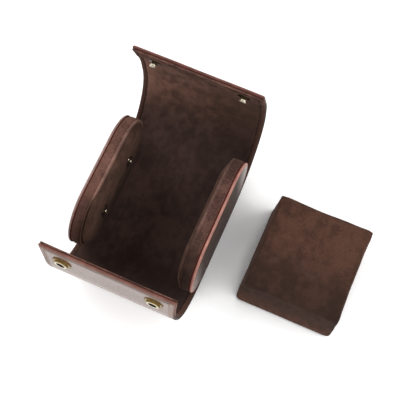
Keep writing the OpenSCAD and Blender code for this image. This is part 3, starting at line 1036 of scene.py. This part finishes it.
def loftRings(profile, closed=False):
    w = Weave()
    rings = [[w.point((a, b, depth)) for a, b in oblong(radius)] for radius, depth, slot in profile]
    after = rings[1:] + (rings[:1] if closed else [])
    for ring, first, second in zip(profile, rings, after):
        w.loft(first, second, ring[2], True)
    return w


def padProfile():
    # the pad swells from its tucked edge
    edge, steps, (depth, within) = cap["padEdge"], cap["padSteps"], cap["padTuck"]
    out = [(radius, edge - 0.1, 0) for radius in cap["padRings"]] + [(cap["padRadius"], edge, 0)]
    rest = cap["padTop"] - edge - depth
    for k in range(1, steps + 1):
        inward = 1 - math.cos(math.pi / 2 * k / steps)
        tuck = depth * min(1, inward / within) ** 0.5
        rise = 1 - (1 - min(1, inward / cap["padFlat"])) ** 2.3
        out.append((cap["padRadius"] * (1 - inward), edge + tuck + rest * rise, 0))
    return out


def padRelief(points):
    # rivets draw the pad in, with short folds that fan out from each of them
    deep, width = cap["dimple"]
    fold, start, broad, count = cap["fan"]
    out = []
    for a, b, z in points:
        drop = 0.0
        for sign in (-1, 1):
            da, db = a - sign * cap["rivets"][0], b - cap["rivets"][1]
            dist, angle = math.hypot(da, db), math.atan2(db, da)
            drop += deep * bell(dist, width)
            turn = count * angle + 2 * sign + 1.4 * math.sin(3 * angle)
            drop += fold * bell(dist - start, broad) * math.cos(turn)
        soft = noise.noise(Vector((a * 0.1, b * 0.1, 3.0))) * 0.3
        free = share(z, (cap["padEdge"], cap["padEdge"] + 1.5))
        out.append((a, b, z + (soft - drop) * free))
    return out


def bandRelief(points):
    # the ridge beside the pad sinks towards the front, and the suede is a little uneven
    foot, least = cap["ridgeFoot"], cap["ridgeLeast"]
    out = []
    for a, b, z in points:
        fade = share(a, cap["ridgeFades"])
        if z > foot:
            z = foot + (z - foot) * (least + (1 - least) * fade * fade * (3 - 2 * fade))
        ripple = cap["unevenness"] * noise.noise(Vector((a * 0.3, b * 0.3, z * 0.35)))
        grown = 1 + ripple / cap["radius"]
        out.append((a * grown, b * grown, z))
    return out


def spin(w, profile, turns, middle):
    # a turned part: a profile of radius and height round one axis
    x, y, z = middle
    angles = [2 * math.pi * k / turns for k in range(turns)]
    rings = [[w.point((x + radius * math.cos(t), y + radius * math.sin(t), z + height))
              for t in angles] for radius, height, slot in profile]
    for ring, first, second in zip(profile, rings, rings[1:]):
        w.loft(first, second, ring[2], True)


def makeCaps():
    across, up = cap["rivets"]
    finishes["pad"] = suedeFinish("cap pad suede", suede["pad"], "solid", shade=shades["pad"],
                                  rivets=(across, cap["middle"] + up))
    for side, name in ((-1, "left"), (1, "right")):
        w = loftRings(cap["cover"])
        cover = makePiece(f"{name}_cap_leather", w, intoCase(side, w.points),
                          [finishes["capLeather"], finishes[name + "Paint"], finishes["capSeam"]])
        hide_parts(f"{name}_cap_cover")
        w = loftRings(cap["band"], True)
        band = makePiece(f"{name}_cap_band", w, intoCase(side, bandRelief(w.points)),
                         [finishes[name + "Band"], finishes[name + "Ridge"], finishes["capSeam"]])
        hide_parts(f"{name}_cap_rim")
        w = loftRings(padProfile())
        pad = makePiece(f"{name}_cap_padding", w, intoCase(side, padRelief(w.points)),
                        [finishes["pad"]])
        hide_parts(f"{name}_cap_pad")
        w = Weave()
        for sign in (-1, 1):
            spin(w, cap["rivet"], cap["rivetTurns"], (sign * across, up, cap["rivetSeat"]))
        rivets = makePiece(f"{name}_cap_hollow_rivets", w, intoCase(side, w.points),
                           [finishes["rivet"], finishes["bore"]])
        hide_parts(f"{name}_cap_rivets")
        for piece in (cover, band, pad, rivets):
            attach(piece, "base")
    print("end caps made")


makeCaps()

pillow = {
    "middle": (99.0, 1.6),
    "size": (60.0, 62.0, 34.5),
    "edgeRadius": 3.2,
    # how far the loose pillow has leaned back at the top and spread at the foot
    "lean": (1.4, 1.3),
    "spread": {"left": 3.3, "right": 1.9, "ends": 2.7},
    "ears": (1.6, 1.1),
    "step": 2.2,
    "swell": 1.1,
    "frames": 20,
    "cloth": {
        "use_pressure": True,
        "uniform_pressure_force": 4.0,
        "quality": 5,
        "mass": 0.15,
        "tension_stiffness": 15,
        "compression_stiffness": 15,
        "bending_stiffness": 0.5,
    },
    # height and width across the seam; the groove lies beside it
    "seamRidge": (0.35, 0.9),
    "seamGroove": (0.5, 1.0),
    "grooveAway": 2.4,
    "seamPuckers": (0.6, 4.5),
    "seamFrom": 2.5,
    "unrest": 0.45,
}
pillowHalf = [s / 2 for s in pillow["size"]]


def pillowWeave():
    # a block with close round edges, in squares small enough for cloth
    w = Weave()
    r = pillow["edgeRadius"]
    lines = []
    for h in pillowHalf:
        inner = np.linspace(-h + r, h - r, round(2 * (h - r) / pillow["step"]) + 1)
        turn = [-h, -h + 0.3 * r, -h + 0.65 * r]
        lines.append(turn + list(inner) + [-c for c in reversed(turn)])

    def corner(place):
        core = Vector([min(h - r, max(r - h, c)) for c, h in zip(place, pillowHalf)])
        away = Vector(place) - core
        return w.point(tuple(core + away.normalized() * r + Vector((0, 0, pillowHalf[2]))))

    for axis in range(3):
        others = [k for k in range(3) if k != axis]
        for sign in (-1, 1):
            grid = []
            for u in lines[others[0]]:
                row = []
                for v in lines[others[1]]:
                    place = [0, 0, 0]
                    place[axis], place[others[0]], place[others[1]] = sign * pillowHalf[axis], u, v
                    row.append(corner(place))
                grid.append(row)
            for first, second in zip(grid, grid[1:]):
                w.loft(first, second)
    return w


def settle(points):
    # standing loose, it leans a little, spreads at its foot and stands out at its top corners
    p = np.array(points)
    up = p[:, 2:] / pillow["size"][2]
    away = p[:, :2] / np.array(pillowHalf[:2])
    spread = pillow["spread"]
    wide = np.where(away[:, 0] < 0, spread["left"], spread["right"])
    foot = np.stack([wide, np.full(len(p), spread["ends"])], 1)
    corner = np.abs(away[:, :1] * away[:, 1:]) ** 5
    p[:, :2] += up * (np.array(pillow["lean"]) + corner * np.sign(away) * np.array(pillow["ears"]))
    p[:, :2] += (1 - up) * away * foot
    return p


def insets(place):
    # how far a point of the block lies inside each pair of its faces
    return [h - abs(c) for c, h in zip((*place[:2], place[2] - pillowHalf[2]), pillowHalf)]


def holdSeams(piece, points):
    # the sewn ends and the closed edges stay where they are
    reach = pillow["edgeRadius"] + 0.1
    held = [i for i, p in enumerate(points) if sorted(insets(p))[1] < reach]
    piece.vertex_groups.new(name="held").add(held, 1.0, "REPLACE")


def seamRelief(piece, points):
    # a turned seam round each end, with small puckers, and a face that isn't quite even
    ridge, groove, puckers = (pillow["seam" + key] for key in ("Ridge", "Groove", "Puckers"))
    normals = [v.normal.copy() for v in piece.data.vertices]
    for vertex, normal, place in zip(piece.data.vertices, normals, points):
        across, *rest = insets(place)
        away = max(across, min(rest))
        close = bell(away, puckers[1])
        pucker = noise.noise(Vector(place) * 0.38)
        uneven = noise.noise(Vector(place) * 0.075 + Vector((0, 0, 7)))
        move = ridge[0] * bell(away, ridge[1])
        move -= groove[0] * bell(away - pillow["grooveAway"], groove[1])
        move += puckers[0] * close * pucker + pillow["unrest"] * uneven * (1 - close)
        if place[2] > pillow["seamFrom"]:
            vertex.co += normal * move * mm


def puffUp(piece):
    # the cover is blown up as cloth from inside, and no point goes further than the swell
    before = np.array([v.co for v in piece.data.vertices])
    cloth = piece.modifiers.new("cloth", "CLOTH")
    for key, value in pillow["cloth"].items():
        setattr(cloth.settings, key, value)
    cloth.settings.vertex_group_mass = "held"
    cloth.settings.effector_weights.gravity = 0
    cloth.point_cache.frame_start, cloth.point_cache.frame_end = 1, pillow["frames"]
    for step in range(1, pillow["frames"] + 1):
        scene.frame_set(step)
    puffed = piece.evaluated_get(bpy.context.evaluated_depsgraph_get())
    move = np.array([v.co for v in puffed.data.vertices]) - before
    far = np.linalg.norm(move, axis=1)
    move *= (np.minimum(far, pillow["swell"] * mm) / np.maximum(far, 1e-9))[:, None]
    piece.modifiers.remove(cloth)
    scene.frame_set(1)
    after = before + move
    after[:, 2] = np.maximum(after[:, 2], 0)
    piece.data.vertices.foreach_set("co", after.astype(np.float32).ravel())
    piece.data.update()
    print("pillow puffed up, mean move", round(float(np.mean(far)) / mm, 2), "mm")


def applyAll(piece):
    bpy.context.view_layer.update()
    graph = bpy.context.evaluated_depsgraph_get()
    mesh = bpy.data.meshes.new_from_object(piece.evaluated_get(graph))
    piece.modifiers.clear()
    piece.data = mesh


def makePillow():
    w = pillowWeave()
    places = (settle(w.points) + np.array((*pillow["middle"], 0))) * mm
    piece = makePiece("pillow_suede_cover", w, places, [finishes["pillow"]])
    holdSeams(piece, w.points)
    puffUp(piece)
    seamRelief(piece, w.points)
    piece.vertex_groups.clear()
    finer = piece.modifiers.new("finer", "SUBSURF")
    finer.levels = finer.render_levels = 1
    applyAll(piece)
    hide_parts("pillow_cover", "pillow_core", "pillow_end_boards")
    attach(piece, "pillow")


makePillow()

# the CAD nodes that keep their shape
nodeFinish = {
    "floor_board": "board", "left_cap_board": "board", "right_cap_board": "board",
    "lip_snap_sockets": "lipSnap", "lip_snap_eyelets": "brass", "lip_snap_springs": "wire",
    "flap_snap_studs": "flapSnap", "flap_snap_caps": "brass",
}
for name, key in nodeFinish.items():
    node = nodes[name]
    node.data.materials.clear()
    node.data.materials.append(finishes[key])
